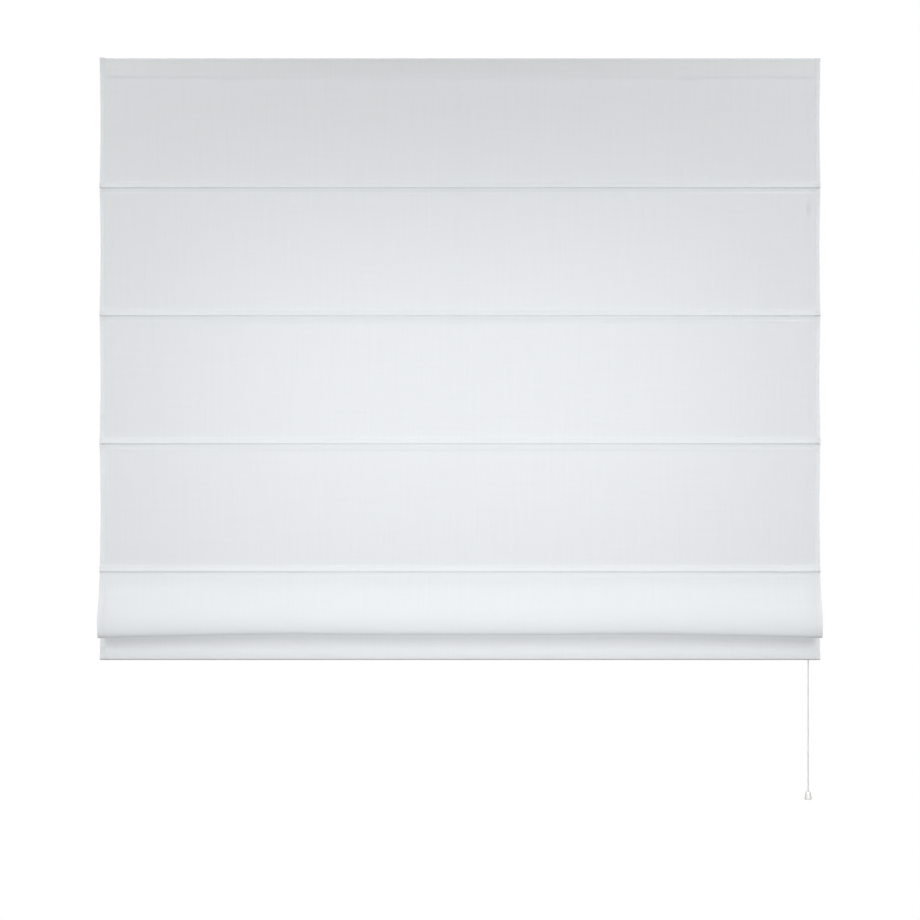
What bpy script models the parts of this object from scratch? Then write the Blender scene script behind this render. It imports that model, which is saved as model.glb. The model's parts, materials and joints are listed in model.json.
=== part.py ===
"""A sheer Roman blind on an aluminium rail, hanging with its lowest fold gathered up.

Metres, +Z up. The origin is the centre of the middle bracket's wall face. The room is at -Y, the
wall at +Y, and +X is the side that the pull cord hangs on.
"""

import math

import bmesh
import bpy
from mathutils import Matrix, Vector

MM = 0.001

# ---- driving dimensions ----
BLIND_WIDTH = 1.300
PANEL_DROP = 0.231  # cloth between two rods
FIRST_DROP = 0.234  # cloth from the top edge down to the first seam
FLAP_DROP = 0.148  # cloth below the last seam
ROD_COUNT = 5
STACK_PITCH = 0.012  # from one seam to the next where a fold is gathered
CLOTH = 0.6 * MM
GAP = 0.3 * MM  # left between faces that touch
SEAM_GAP = 0.15 * MM  # each side of a seam

RAIL_DEPTH = 26 * MM
RAIL_FRONT_Y = -40 * MM
RAIL_HALF_HEIGHT = 15 * MM
RAIL_WALL = 1.4 * MM
RAIL_SHORTER = 5 * MM  # at each end, than the cloth
WEB_TOP = 5 * MM
LIP_WIDTH = 6 * MM
SLOT_WALL = 1.4 * MM  # of the channel on top of the web
SLOT_LIP = 1.2 * MM
SLOT_FROM_FRONT = 14 * MM  # to the middle of the top channel
SLOT_OUTER_HALF = 8.9 * MM
SLOT_MOUTH_HALF = 4.5 * MM
SLOT_HEIGHT = 2.6 * MM
CAP_PLATE = 3 * MM
CAP_PLUG = 4 * MM

BRACKET_INSET = 0.230  # of the outer brackets, from the cloth's edge
BRACKET_WIDTH = 34 * MM
BRACKET_METAL = 2 * MM
BRACKET_DROP = 14.5 * MM
BRACKET_ARM = 1.8 * MM
BRACKET_SCREW_R = 2.5 * MM
ARM_PAST_PIN = 9 * MM
CLIP_PIN_R = 2.5 * MM
CLIP_PLATE = 2 * MM
CLIP_CAM_LENGTH = 13.6 * MM
CLIP_CAM_WIDTH = 8 * MM
CLIP_LEVER = 16 * MM
CLIP_LEVER_TAPER = 0.7

TAPE_HEIGHT = 25 * MM
HOOK_TAPE = 1.3 * MM
LOOP_TAPE = 1.0 * MM
CLOTH_ABOVE_RAIL = 1 * MM
TAPE_BELOW_EDGE = 4.5 * MM

ROD_R = 2 * MM
ROD_SHORTER = 2 * MM  # at each end, than the cloth
ROD_BELOW_SEAM = 8 * MM
POCKET_HALF = 5.5 * MM
WEIGHT_R = 2.5 * MM
RING_R = 5.5 * MM
RING_WIRE_R = 1 * MM

CORD_INSET = 0.103  # of the outer lift cords, from the cloth's edge
LIFT_CORD_R = 0.6 * MM
PULLEY_GROOVE_R = 4 * MM
PULLEY_RIM_R = 5.4 * MM
GUIDE_PAST_RIM = 3 * MM
GUIDE_FOOT_PAST_BLOCK = 2 * MM
GUIDE_CORD_HOLE_R = 2 * MM
PULLEY_WIDTH = 3.6 * MM
PULLEY_BELOW_WEB = 9.5 * MM  # from the web's top down to the pulley's centre
STUB_R = 1.5 * MM
STUB_LENGTH = 1.5 * MM
GUIDE_FOOT = 2.2 * MM
GUIDE_CHEEK = 1.8 * MM

PULL_INSET = 18 * MM  # of the pull cord, from the cloth's edge
PULL_FROM_FRONT = 13 * MM
CORD_PITCH = 1.8 * MM  # between the lift cords at the lock
LOCK_WALL = 2 * MM
LOCK_CHEEK = 3 * MM
LOCK_LEFT_OF_PULL = 28 * MM
LOCK_RIGHT_OF_PULL = 8 * MM
LOCK_WINDOW_BELOW_RUN = 3 * MM
LOCK_WINDOW_ABOVE_RUN = 1.5 * MM
LOCK_EXIT_HALF = 4 * MM
ROLLER_BELOW_RUN = 5.9 * MM
LOCK_BAR_R = 3 * MM
ROLLER_R = 2.2 * MM
ROLLER_STUB_R = 1.2 * MM
ROLLER_TRAVEL = 2.5 * MM
ROLLER_SLANT = math.radians(8)
CONNECTOR_TOP = -0.242
CONNECTOR_LENGTH = 22 * MM
CONNECTOR_R = 4.2 * MM
PULL_CORD_R = 1 * MM
CONE_TOP = -1.3106
CONE_HEIGHT = 14.5 * MM
CONE_TOP_R = 4 * MM
CONE_BASE_R = 6.4 * MM

FOLD_FORWARD = 22 * MM  # how far the gathered fold stands out
FOLD_DEPTH = 0.113  # from its seam down to its lowest point
FOLD_TURN_R = 4.5 * MM

# ---- places that follow from them ----
WEB_UNDER = WEB_TOP - RAIL_WALL
RAIL_BACK_Y = RAIL_FRONT_Y + RAIL_DEPTH
CHANNEL_FRONT_Y = RAIL_FRONT_Y + RAIL_WALL + GAP
CHANNEL_BACK_Y = RAIL_BACK_Y - RAIL_WALL - GAP
CHANNEL_FLOOR = -RAIL_HALF_HEIGHT + RAIL_WALL + GAP
CHANNEL_CEILING = WEB_UNDER - GAP
RAIL_HALF = BLIND_WIDTH / 2 - RAIL_SHORTER
BRACKET_SPREAD = BLIND_WIDTH / 2 - BRACKET_INSET
CORD_SPREAD = BLIND_WIDTH / 2 - CORD_INSET
PULL_X = BLIND_WIDTH / 2 - PULL_INSET
SLOT_MID_Y = RAIL_FRONT_Y + SLOT_FROM_FRONT
SLOT_TOP = WEB_TOP + SLOT_HEIGHT + SLOT_LIP
ARM_UNDER = SLOT_TOP + GAP

HOOK_BACK_Y = RAIL_FRONT_Y - GAP
LOOP_BACK_Y = HOOK_BACK_Y - HOOK_TAPE - GAP
SHEET_BACK_Y = LOOP_BACK_Y - LOOP_TAPE - GAP
SHEET_FRONT_Y = SHEET_BACK_Y - CLOTH
SHEET_Y = SHEET_BACK_Y - CLOTH / 2
CLOTH_TOP = RAIL_HALF_HEIGHT + CLOTH_ABOVE_RAIL
TAPE_TOP = CLOTH_TOP - TAPE_BELOW_EDGE

POCKET_R = ROD_R + GAP
ROD_Y = SHEET_BACK_Y + POCKET_R + GAP
POCKET_BACK_Y = ROD_Y + POCKET_R + CLOTH
CORD_Y = POCKET_BACK_Y + GAP + RING_R + RING_WIRE_R
CORD_XS = {"left": -CORD_SPREAD, "centre": 0.0, "right": CORD_SPREAD}

PULLEY_Z = WEB_TOP - PULLEY_BELOW_WEB
CORD_ROUND_R = PULLEY_GROOVE_R + GAP + LIFT_CORD_R
RUN_Z = PULLEY_Z + CORD_ROUND_R
PULL_Y = RAIL_FRONT_Y + PULL_FROM_FRONT
LOCK_ROUND_R = LOCK_BAR_R + GAP + LIFT_CORD_R

SEAMS = [CLOTH_TOP - FIRST_DROP - PANEL_DROP * i for i in range(ROD_COUNT - 1)]
SEAMS.append(SEAMS[-1] - STACK_PITCH)
ROD_ZS = [seam - ROD_BELOW_SEAM for seam in SEAMS]
HEM_BOTTOM = SEAMS[-1] - FLAP_DROP
FOLD_BOTTOM = SEAMS[-2] - FOLD_DEPTH

# ---- the scene, its collections and materials ----


def cleared_scene():
    for obj in list(bpy.data.objects):
        bpy.data.objects.remove(obj)
    made = []
    for name in ("roman_blind", "cutters"):
        collection = bpy.data.collections.new(name)
        bpy.context.scene.collection.children.link(collection)
        made.append(collection)
    return made


BLIND, CUTTERS = cleared_scene()


def finish(name, colour, roughness, metallic=0.0):
    material = bpy.data.materials.new(name)
    material.use_nodes = True
    shader = material.node_tree.nodes["Principled BSDF"]
    shader.inputs["Base Color"].default_value = (*colour, 1)
    shader.inputs["Roughness"].default_value = roughness
    shader.inputs["Metallic"].default_value = metallic
    return material


VOILE = finish("voile", (0.90, 0.91, 0.91), 0.9)
WHITE_ALUMINIUM = finish("white_aluminium", (0.86, 0.86, 0.85), 0.4)
STEEL = finish("zinc_plated_steel", (0.62, 0.63, 0.65), 0.35, 1.0)
NYLON = finish("white_nylon", (0.84, 0.84, 0.82), 0.5)
TAPE = finish("hook_and_loop", (0.80, 0.78, 0.75), 0.95)
FIBREGLASS = finish("fibreglass", (0.82, 0.83, 0.80), 0.35)
CLEAR_PLASTIC = finish("clear_plastic", (0.85, 0.87, 0.88), 0.2)
BRAID = finish("polyester_braid", (0.85, 0.85, 0.84), 0.8)

# ---- shapes ----


def added(name, data, material=None, matrix=Matrix()):
    """A new object: a piece of the blind with its material, or a cutter without one."""
    obj = bpy.data.objects.new(name, data)
    obj.matrix_world = matrix
    if material:
        data.materials.append(material)
        BLIND.objects.link(obj)
    else:
        CUTTERS.objects.link(obj)
        obj.hide_render = True
        obj.display_type = "WIRE"
    return obj


def box(name, low, high, material=None):
    low, high = Vector(low), Vector(high)
    mesh = bpy.data.meshes.new(name)
    shape = bmesh.new()
    bmesh.ops.create_cube(shape, size=1)
    bmesh.ops.scale(shape, vec=high - low, verts=shape.verts)
    shape.to_mesh(mesh)
    shape.free()
    return added(name, mesh, material, Matrix.Translation((low + high) / 2))


AXIS_TURNS = {
    "X": Matrix.Rotation(math.pi / 2, 4, "Y"),
    "Y": Matrix.Rotation(math.pi / 2, 4, "X"),
    "Z": Matrix(),
}


def cylinder(name, centre, radius, length, axis, material=None, sides=16):
    mesh = bpy.data.meshes.new(name)
    shape = bmesh.new()
    bmesh.ops.create_cone(shape, cap_ends=True, segments=sides, radius1=radius, radius2=radius, depth=length)
    shape.to_mesh(mesh)
    shape.free()
    return added(name, mesh, material, Matrix.Translation(centre) @ AXIS_TURNS[axis])


def meshed(curve, name, material, matrix):
    """A curve made a mesh with its caps welded, so that it can be cut or joined."""
    scratch = bpy.data.objects.new(name + "_curve", curve)
    CUTTERS.objects.link(scratch)
    graph = bpy.context.evaluated_depsgraph_get()
    mesh = bpy.data.meshes.new_from_object(scratch.evaluated_get(graph))
    mesh.name = name
    bpy.data.objects.remove(scratch)
    shape = bmesh.new()
    shape.from_mesh(mesh)
    bmesh.ops.remove_doubles(shape, verts=shape.verts, dist=0.01 * MM)
    shape.to_mesh(mesh)
    shape.free()
    mesh.materials.clear()
    return added(name, mesh, material, matrix)


def outline_curve(name, outlines, thickness):
    """A 2D curve of one or more closed outlines, where an inner one is a hole."""
    curve = bpy.data.curves.new(name, "CURVE")
    curve.dimensions = "2D"
    curve.fill_mode = "BOTH"
    curve.extrude = thickness / 2
    for outline in outlines:
        spline = curve.splines.new("POLY")
        spline.points.add(len(outline) - 1)
        for point, (across, up) in zip(spline.points, outline):
            point.co = (across, up, 0, 1)
        spline.use_cyclic_u = True
    return curve


ALONG_X = Matrix.Rotation(math.pi / 2, 4, "Z") @ Matrix.Rotation(math.pi / 2, 4, "X")


def extrusion(name, outlines, x_from, x_to, material=None):
    """Outlines of (y, z) points, extruded along X."""
    curve = outline_curve(name, outlines, x_to - x_from)
    place = Matrix.Translation(((x_from + x_to) / 2, 0, 0)) @ ALONG_X
    return meshed(curve, name, material, place)


def plate(name, outlines, z_from, z_to, material=None):
    """Outlines of (x, y) points, extruded along Z."""
    curve = outline_curve(name, outlines, z_to - z_from)
    return meshed(curve, name, material, Matrix.Translation((0, 0, (z_from + z_to) / 2)))


def turned(name, profile, centre, axis, material, steps=16):
    """A profile of (radius, height) points, from its top down, turned about the axis."""
    mesh = bpy.data.meshes.new(name)
    edges = [(i, i + 1) for i in range(len(profile) - 1)]
    mesh.from_pydata([(radius, 0, height) for radius, height in profile], edges, [])
    obj = added(name, mesh, material, Matrix.Translation(centre) @ AXIS_TURNS[axis])
    screw = obj.modifiers.new("turn", "SCREW")
    screw.steps = screw.render_steps = steps
    screw.use_merge_vertices = True
    screw.merge_threshold = 0.00001
    return obj


def ring(name, centre, material):
    """A torus that lies flat, with the cord's line as its axis."""
    bpy.ops.mesh.primitive_torus_add(
        location=centre, major_radius=RING_R, minor_radius=RING_WIRE_R, major_segments=16, minor_segments=6
    )
    obj = bpy.context.object
    obj.name = obj.data.name = name
    for collection in list(obj.users_collection):
        collection.objects.unlink(obj)
    BLIND.objects.link(obj)
    obj.data.materials.append(material)
    return obj


def tube(name, points, radius, material):
    curve = bpy.data.curves.new(name, "CURVE")
    curve.dimensions = "3D"
    curve.bevel_depth = radius
    curve.bevel_resolution = 2
    curve.use_fill_caps = True
    spline = curve.splines.new("POLY")
    spline.points.add(len(points) - 1)
    for point, place in zip(spline.points, points):
        point.co = (*place, 1)
    return added(name, curve, material)


def boolean(obj, operation, others):
    for other in others:
        modifier = obj.modifiers.new(other.name, "BOOLEAN")
        modifier.operation = operation
        modifier.object = other


def arc(centre, radius, start, end, steps):
    """Points in a plane, from the start angle to the end angle in degrees."""
    angles = [math.radians(start + (end - start) * i / steps) for i in range(steps + 1)]
    return [(centre[0] + radius * math.cos(a), centre[1] + radius * math.sin(a)) for a in angles]


def circle(centre, radius, steps=12):
    return arc(centre, radius, 0, 360 * (steps - 1) / steps, steps - 1)


# ---- the rail, its end caps and its touch tape ----


def rail_outline():
    """The extrusion's section: open below between two lips, with a lipped channel on top."""
    front, back = RAIL_FRONT_Y, RAIL_BACK_Y
    inner_front, inner_back = front + RAIL_WALL, back - RAIL_WALL
    bottom, top = -RAIL_HALF_HEIGHT, RAIL_HALF_HEIGHT
    lip_top = bottom + RAIL_WALL
    slot_front, slot_back = SLOT_MID_Y - SLOT_OUTER_HALF, SLOT_MID_Y + SLOT_OUTER_HALF
    mouth_front, mouth_back = SLOT_MID_Y - SLOT_MOUTH_HALF, SLOT_MID_Y + SLOT_MOUTH_HALF
    slot_under = SLOT_TOP - SLOT_LIP
    return [
        (front, top), (front, bottom), (front + LIP_WIDTH, bottom), (front + LIP_WIDTH, lip_top),
        (inner_front, lip_top), (inner_front, WEB_UNDER), (inner_back, WEB_UNDER), (inner_back, lip_top),
        (back - LIP_WIDTH, lip_top), (back - LIP_WIDTH, bottom), (back, bottom), (back, WEB_TOP),
        (slot_back, WEB_TOP), (slot_back, SLOT_TOP), (mouth_back, SLOT_TOP), (mouth_back, slot_under),
        (slot_back - SLOT_WALL, slot_under), (slot_back - SLOT_WALL, WEB_TOP),
        (slot_front + SLOT_WALL, WEB_TOP), (slot_front + SLOT_WALL, slot_under), (mouth_front, slot_under),
        (mouth_front, SLOT_TOP), (slot_front, SLOT_TOP), (slot_front, WEB_TOP), (inner_front, WEB_TOP),
        (inner_front, top),
    ]  # fmt: skip


extrusion("headrail", [rail_outline()], -RAIL_HALF, RAIL_HALF, WHITE_ALUMINIUM)


def end_cap(name, side):
    """A plate of the rail's outer shape, with a plug that fills the rail's channel."""
    inner, outer = RAIL_HALF + GAP, RAIL_HALF + GAP + CAP_PLATE
    x_from, x_to = sorted((side * inner, side * outer))
    front, back = RAIL_FRONT_Y, RAIL_BACK_Y
    outline = [
        (front, RAIL_HALF_HEIGHT), (front, -RAIL_HALF_HEIGHT), (back, -RAIL_HALF_HEIGHT), (back, SLOT_TOP),
        (front + 3 * RAIL_WALL, SLOT_TOP), (front + RAIL_WALL, RAIL_HALF_HEIGHT),
    ]  # fmt: skip
    cap = extrusion(name, [outline], x_from, x_to, NYLON)
    plug_from, plug_to = sorted((side * (inner - CAP_PLUG), side * (inner + CAP_PLATE / 2)))
    plug = box(
        name + "_plug",
        (plug_from, CHANNEL_FRONT_Y, CHANNEL_FLOOR),
        (plug_to, CHANNEL_BACK_Y, CHANNEL_CEILING),
    )
    boolean(cap, "UNION", [plug])


for side_name, side in (("left", -1), ("right", 1)):
    end_cap("end_cap_" + side_name, side)

tapes = (("hook_tape", HOOK_BACK_Y, HOOK_TAPE), ("loop_tape", LOOP_BACK_Y, LOOP_TAPE))
for tape_name, back_y, thickness in tapes:
    box(
        tape_name,
        (-RAIL_HALF, back_y - thickness, TAPE_TOP - TAPE_HEIGHT),
        (RAIL_HALF, back_y, TAPE_TOP),
        TAPE,
    )

# ---- wall brackets and the swivel clips that hold the rail to them ----


def bracket(name, x):
    """An angle of steel: a plate on the wall with a screw hole, and an arm over the rail."""
    half = BRACKET_WIDTH / 2
    arm_top = ARM_UNDER + BRACKET_ARM
    arm_front = SLOT_MID_Y - ARM_PAST_PIN
    outline = [
        (0, arm_top), (arm_front, arm_top), (arm_front, ARM_UNDER),
        (-BRACKET_METAL, ARM_UNDER), (-BRACKET_METAL, -BRACKET_DROP), (0, -BRACKET_DROP),
    ]  # fmt: skip
    angle = extrusion(name, [outline], x - half, x + half, STEEL)
    screw_hole = cylinder(
        name + "_screw_hole", (x, 0, -BRACKET_DROP / 2), BRACKET_SCREW_R, 4 * BRACKET_METAL, "Y"
    )
    pin_hole = cylinder(
        name + "_pin_hole", (x, SLOT_MID_Y, ARM_UNDER), CLIP_PIN_R + GAP, 4 * BRACKET_ARM, "Z"
    )
    boolean(angle, "DIFFERENCE", [screw_hole, pin_hole])


def clip(name, x):
    """A cam that turns under the channel's lips, with its pin and its lever above the arm."""
    cam_low = WEB_TOP + GAP
    lever_low = ARM_UNDER + BRACKET_ARM + GAP
    half_width = CLIP_CAM_WIDTH / 2
    straight = CLIP_CAM_LENGTH / 2 - half_width
    cam_outline = arc((x, SLOT_MID_Y + straight), half_width, 0, 180, 6)
    cam_outline += arc((x, SLOT_MID_Y - straight), half_width, 180, 360, 6)
    cam = plate(name, [cam_outline], cam_low, cam_low + CLIP_PLATE, STEEL)
    pin = cylinder(
        name + "_pin",
        (x, SLOT_MID_Y, (cam_low + lever_low) / 2 + CLIP_PLATE / 2),
        CLIP_PIN_R,
        lever_low - cam_low,
        "Z",
    )
    lever_outline = arc((x, SLOT_MID_Y), half_width, 90, 270, 6)
    lever_outline += arc((x + CLIP_LEVER - half_width, SLOT_MID_Y), half_width * CLIP_LEVER_TAPER, -90, 90, 6)
    lever = plate(name + "_lever", [lever_outline], lever_low, lever_low + CLIP_PLATE)
    boolean(cam, "UNION", [pin, lever])


for place, x in (("left", -BRACKET_SPREAD), ("centre", 0.0), ("right", BRACKET_SPREAD)):
    bracket("bracket_" + place, x)
    clip("clip_" + place, x)

# ---- cord guides: a foot on the rail's lips, two cheeks and a pulley between them ----


def guide(name, cord_x):
    pulley_x = cord_x + CORD_ROUND_R
    half_long = PULLEY_RIM_R + GUIDE_PAST_RIM
    slot_half = PULLEY_WIDTH / 2 + GAP
    block_half = slot_half + GUIDE_CHEEK
    foot_top = CHANNEL_FLOOR + GUIDE_FOOT
    body = box(
        name,
        (pulley_x - half_long - GUIDE_FOOT_PAST_BLOCK, CHANNEL_FRONT_Y, CHANNEL_FLOOR),
        (pulley_x + half_long + GUIDE_FOOT_PAST_BLOCK, CHANNEL_BACK_Y, foot_top),
        NYLON,
    )
    block = box(
        name + "_block",
        (pulley_x - half_long, CORD_Y - block_half, CHANNEL_FLOOR + GUIDE_FOOT / 2),
        (pulley_x + half_long, CORD_Y + block_half, PULLEY_Z + PULLEY_RIM_R),
    )
    slot = box(
        name + "_slot",
        (pulley_x - 2 * half_long, CORD_Y - slot_half, foot_top),
        (pulley_x + 2 * half_long, CORD_Y + slot_half, WEB_TOP),
    )
    cord_hole = cylinder(
        name + "_cord_hole", (cord_x, CORD_Y, CHANNEL_FLOOR), GUIDE_CORD_HOLE_R, 4 * GUIDE_FOOT, "Z"
    )
    bore = cylinder(
        name + "_bore", (pulley_x, CORD_Y, PULLEY_Z), STUB_R + GAP, 4 * block_half, "Y"
    )
    boolean(body, "UNION", [block])
    boolean(body, "DIFFERENCE", [slot, cord_hole, bore])


def pulley(name, cord_x):
    half = PULLEY_WIDTH / 2
    rim = PULLEY_WIDTH * 0.14
    groove = PULLEY_WIDTH * 0.22
    tip = half + GAP + STUB_LENGTH
    upper = [
        (0, tip), (STUB_R, tip), (STUB_R, half), (PULLEY_RIM_R, half),
        (PULLEY_RIM_R, half - rim), (PULLEY_GROOVE_R, groove),
    ]  # fmt: skip
    profile = upper + [(radius, -height) for radius, height in reversed(upper)]
    turned(name, profile, (cord_x + CORD_ROUND_R, CORD_Y, PULLEY_Z), "Y", NYLON)


for place, x in CORD_XS.items():
    guide("cord_guide_" + place, x)
    pulley("guide_pulley_" + place, x)

# ---- the cord lock, with its sliding roller ----

LOCK_LEFT = PULL_X - LOCK_LEFT_OF_PULL
LOCK_RIGHT = PULL_X + LOCK_RIGHT_OF_PULL
LOCK_CAVITY_HALF = 5 * MM
BAR_X = PULL_X - LOCK_ROUND_R
BAR_Z = RUN_Z - LOCK_ROUND_R
ROLLER_X = PULL_X + LIFT_CORD_R + GAP + ROLLER_R
ROLLER_Z = RUN_Z - ROLLER_BELOW_RUN


def cord_lock():
    """A moulded box on the rail's lips: a window for the cords, a bar to turn over, slots for the roller."""
    foot_top = CHANNEL_FLOOR + LOCK_WALL
    cheek = LOCK_CAVITY_HALF + LOCK_CHEEK
    body = box(
        "cord_lock",
        (LOCK_LEFT, PULL_Y - cheek, CHANNEL_FLOOR + LOCK_WALL / 2),
        (LOCK_RIGHT, PULL_Y + cheek, CHANNEL_CEILING),
        NYLON,
    )
    foot = box(
        "cord_lock_foot",
        (LOCK_LEFT - 2 * MM, CHANNEL_FRONT_Y, CHANNEL_FLOOR),
        (LOCK_RIGHT - MM, CHANNEL_BACK_Y, foot_top),
    )
    cavity = box(
        "cord_lock_cavity",
        (LOCK_LEFT + LOCK_WALL, PULL_Y - LOCK_CAVITY_HALF, foot_top),
        (LOCK_RIGHT - LOCK_WALL, PULL_Y + LOCK_CAVITY_HALF, CHANNEL_CEILING - LOCK_WALL * 0.6),
    )
    window = box(
        "cord_lock_window",
        (LOCK_LEFT - 3 * LOCK_WALL, PULL_Y - LOCK_CAVITY_HALF + MM, RUN_Z - LOCK_WINDOW_BELOW_RUN),
        (LOCK_LEFT + 3 * LOCK_WALL, PULL_Y + LOCK_CAVITY_HALF - MM, RUN_Z + LOCK_WINDOW_ABOVE_RUN),
    )
    exit_slot = box(
        "cord_lock_exit",
        (PULL_X - LOCK_EXIT_HALF, PULL_Y - LOCK_CAVITY_HALF + MM, CHANNEL_FLOOR - LOCK_WALL),
        (PULL_X + LOCK_EXIT_HALF, PULL_Y + LOCK_CAVITY_HALF - MM, foot_top + LOCK_WALL / 2),
    )
    bar_length = 2 * LOCK_CAVITY_HALF + LOCK_CHEEK
    bar = cylinder("cord_lock_bar", (BAR_X, PULL_Y, BAR_Z), LOCK_BAR_R, bar_length, "Y")
    slant = Vector((math.sin(ROLLER_SLANT), 0, -math.cos(ROLLER_SLANT)))
    slot_r = ROLLER_STUB_R + GAP
    slot_centre = Vector((ROLLER_X, PULL_Y, ROLLER_Z)) + slant * ROLLER_TRAVEL / 2
    slot_size = Vector((2 * slot_r, 4 * cheek, ROLLER_TRAVEL + 2 * slot_r))
    roller_slot = box("cord_lock_roller_slot", -slot_size / 2, slot_size / 2)
    roller_slot.matrix_world = Matrix.Translation(slot_centre) @ Matrix.Rotation(-ROLLER_SLANT, 4, "Y")
    boolean(body, "UNION", [foot])
    boolean(body, "DIFFERENCE", [cavity, window, exit_slot, roller_slot])
    boolean(body, "UNION", [bar])


def lock_roller():
    """The roller that jams the cords: a ribbed drum with a stub at each end."""
    half = LOCK_CAVITY_HALF - GAP
    tip = LOCK_CAVITY_HALF + LOCK_CHEEK * 0.6
    ribs = 4
    rib_share, groove_share, groove_r = 0.7, 0.85, ROLLER_R * 0.88
    profile = [(0, tip), (ROLLER_STUB_R, tip), (ROLLER_STUB_R, half)]
    for i in range(ribs):
        top = half - 2 * half * i / ribs
        step = 2 * half / ribs
        profile += [
            (ROLLER_R, top),
            (ROLLER_R, top - step * rib_share),
            (groove_r, top - step * groove_share),
        ]
    profile += [(ROLLER_R, -half), (ROLLER_STUB_R, -half), (ROLLER_STUB_R, -tip), (0, -tip)]
    turned("lock_roller", profile, (ROLLER_X, PULL_Y, ROLLER_Z), "Y", NYLON, steps=12)


cord_lock()
lock_roller()

# ---- the cloth: its flat panels, its gathered fold and its flap ----


def tangent_angle(centre_y, outer_r, reach_up, sheet_y):
    """Where a straight of cloth from the sheet, this far above the centre, meets the bulge."""
    reach = math.hypot(centre_y - sheet_y, reach_up)
    return math.degrees(math.atan2(reach_up, sheet_y - centre_y) - math.acos(outer_r / reach))


def pocket_outline(rod, outer_r, half_height, sheet_y):
    """The back of a rod pocket as seen from the side, from its lower edge up to its upper edge."""
    rod_y, rod_z = rod
    end = tangent_angle(rod_y, outer_r, half_height, sheet_y)
    return [(sheet_y, rod_z - half_height), *arc(rod, outer_r, -end, end, 6), (sheet_y, rod_z + half_height)]


def rod_pocket(rod_z):
    return pocket_outline((ROD_Y, rod_z), POCKET_R + CLOTH, POCKET_HALF, SHEET_BACK_Y)


def cloth(name, outlines):
    extrusion(name, outlines, -BLIND_WIDTH / 2, BLIND_WIDTH / 2, VOILE)


def sheet_outline(top, bottom, pocket=()):
    front = [(SHEET_FRONT_Y, top), (SHEET_FRONT_Y, bottom)]
    return [*front, (SHEET_BACK_Y, bottom), *pocket, (SHEET_BACK_Y, top)]


def flat_panels():
    """Each drop is an upper and a lower half, which come together when the fold is drawn up."""
    tops = [CLOTH_TOP] + [seam - SEAM_GAP for seam in SEAMS]
    for i in range(ROD_COUNT - 1):
        middle = (tops[i] + SEAMS[i]) / 2
        name = f"panel_{i + 1}"
        outlines = [sheet_outline(tops[i], middle + SEAM_GAP)]
        if i:
            rod_z = ROD_ZS[i - 1]
            outlines = [
                sheet_outline(tops[i], middle + SEAM_GAP, rod_pocket(rod_z)),
                circle((ROD_Y, rod_z), POCKET_R),
            ]
        cloth(name + "_upper", outlines)
        cloth(name + "_lower", [sheet_outline(middle - SEAM_GAP, SEAMS[i] + SEAM_GAP)])


def ease(t):
    return t * t * (3 - 2 * t)


TURN_TOP = FOLD_BOTTOM + FOLD_TURN_R + CLOTH / 2
FOLD_FRONT_Y = SHEET_Y - FOLD_FORWARD
FOLD_REAR_Y = SHEET_FRONT_Y - GAP - CLOTH / 2  # of the back layer where it lies on the flap
FOLD_BACK_BELOW_SEAM = 9 * MM
FOLD_STEPS = 14


def gathered_front():
    """The middle line of the fold's front layer, from its seam down to the turn."""
    top = SEAMS[-2] - SEAM_GAP
    rows = [i / FOLD_STEPS for i in range(FOLD_STEPS + 1)]
    forward, down = FOLD_FRONT_Y - SHEET_Y, TURN_TOP + SEAM_GAP - top
    return [(SHEET_Y + forward * ease(t), top + down * t) for t in rows]


def gathered_back():
    """The middle line of the fold's turn and of its back layer, up to just under the last seam."""
    turn = arc((FOLD_FRONT_Y + FOLD_TURN_R, TURN_TOP - SEAM_GAP), FOLD_TURN_R, 180, 360, 10)
    start_y, start_z = turn[-1]
    top = SEAMS[-1] - FOLD_BACK_BELOW_SEAM
    rows = [i / FOLD_STEPS for i in range(1, FOLD_STEPS + 1)]
    return turn + [(start_y + (FOLD_REAR_Y - start_y) * ease(t), start_z + (top - start_z) * t) for t in rows]


def thickened(line):
    """The outline of a layer of cloth along a middle line."""
    sides = ([], [])
    for i, point in enumerate(line):
        before, after = Vector(line[max(i - 1, 0)]), Vector(line[min(i + 1, len(line) - 1)])
        along = (after - before).normalized()
        across = Vector((-along.y, along.x)) * CLOTH / 2
        sides[0].append(tuple(Vector(point) - across))
        sides[1].append(tuple(Vector(point) + across))
    return sides[0] + sides[1][::-1]


def gathered_fold():
    """The drawn-up drop: a front layer that stands out, and a turn that runs back up behind it."""
    front = thickened(gathered_front())
    rod_z = ROD_ZS[-2]
    count = len(front) // 2
    if front[0][0] < front[-1][0]:
        face, back = front[:count], front[count:]
    else:
        face, back = front[count:][::-1], front[:count][::-1]
    pocket = rod_pocket(rod_z)
    above = [point for point in back if point[1] > pocket[-1][1]]
    below = [point for point in back if point[1] < pocket[0][1]]
    below_join = (below[-1][0], pocket[0][1])
    cloth(f"panel_{ROD_COUNT}_upper", [
        face + below + [below_join] + pocket[1:-1] + [pocket[-1]] + above,
        circle((ROD_Y, rod_z), POCKET_R),
    ])
    cloth(f"panel_{ROD_COUNT}_lower", [thickened(gathered_back())])


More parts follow.
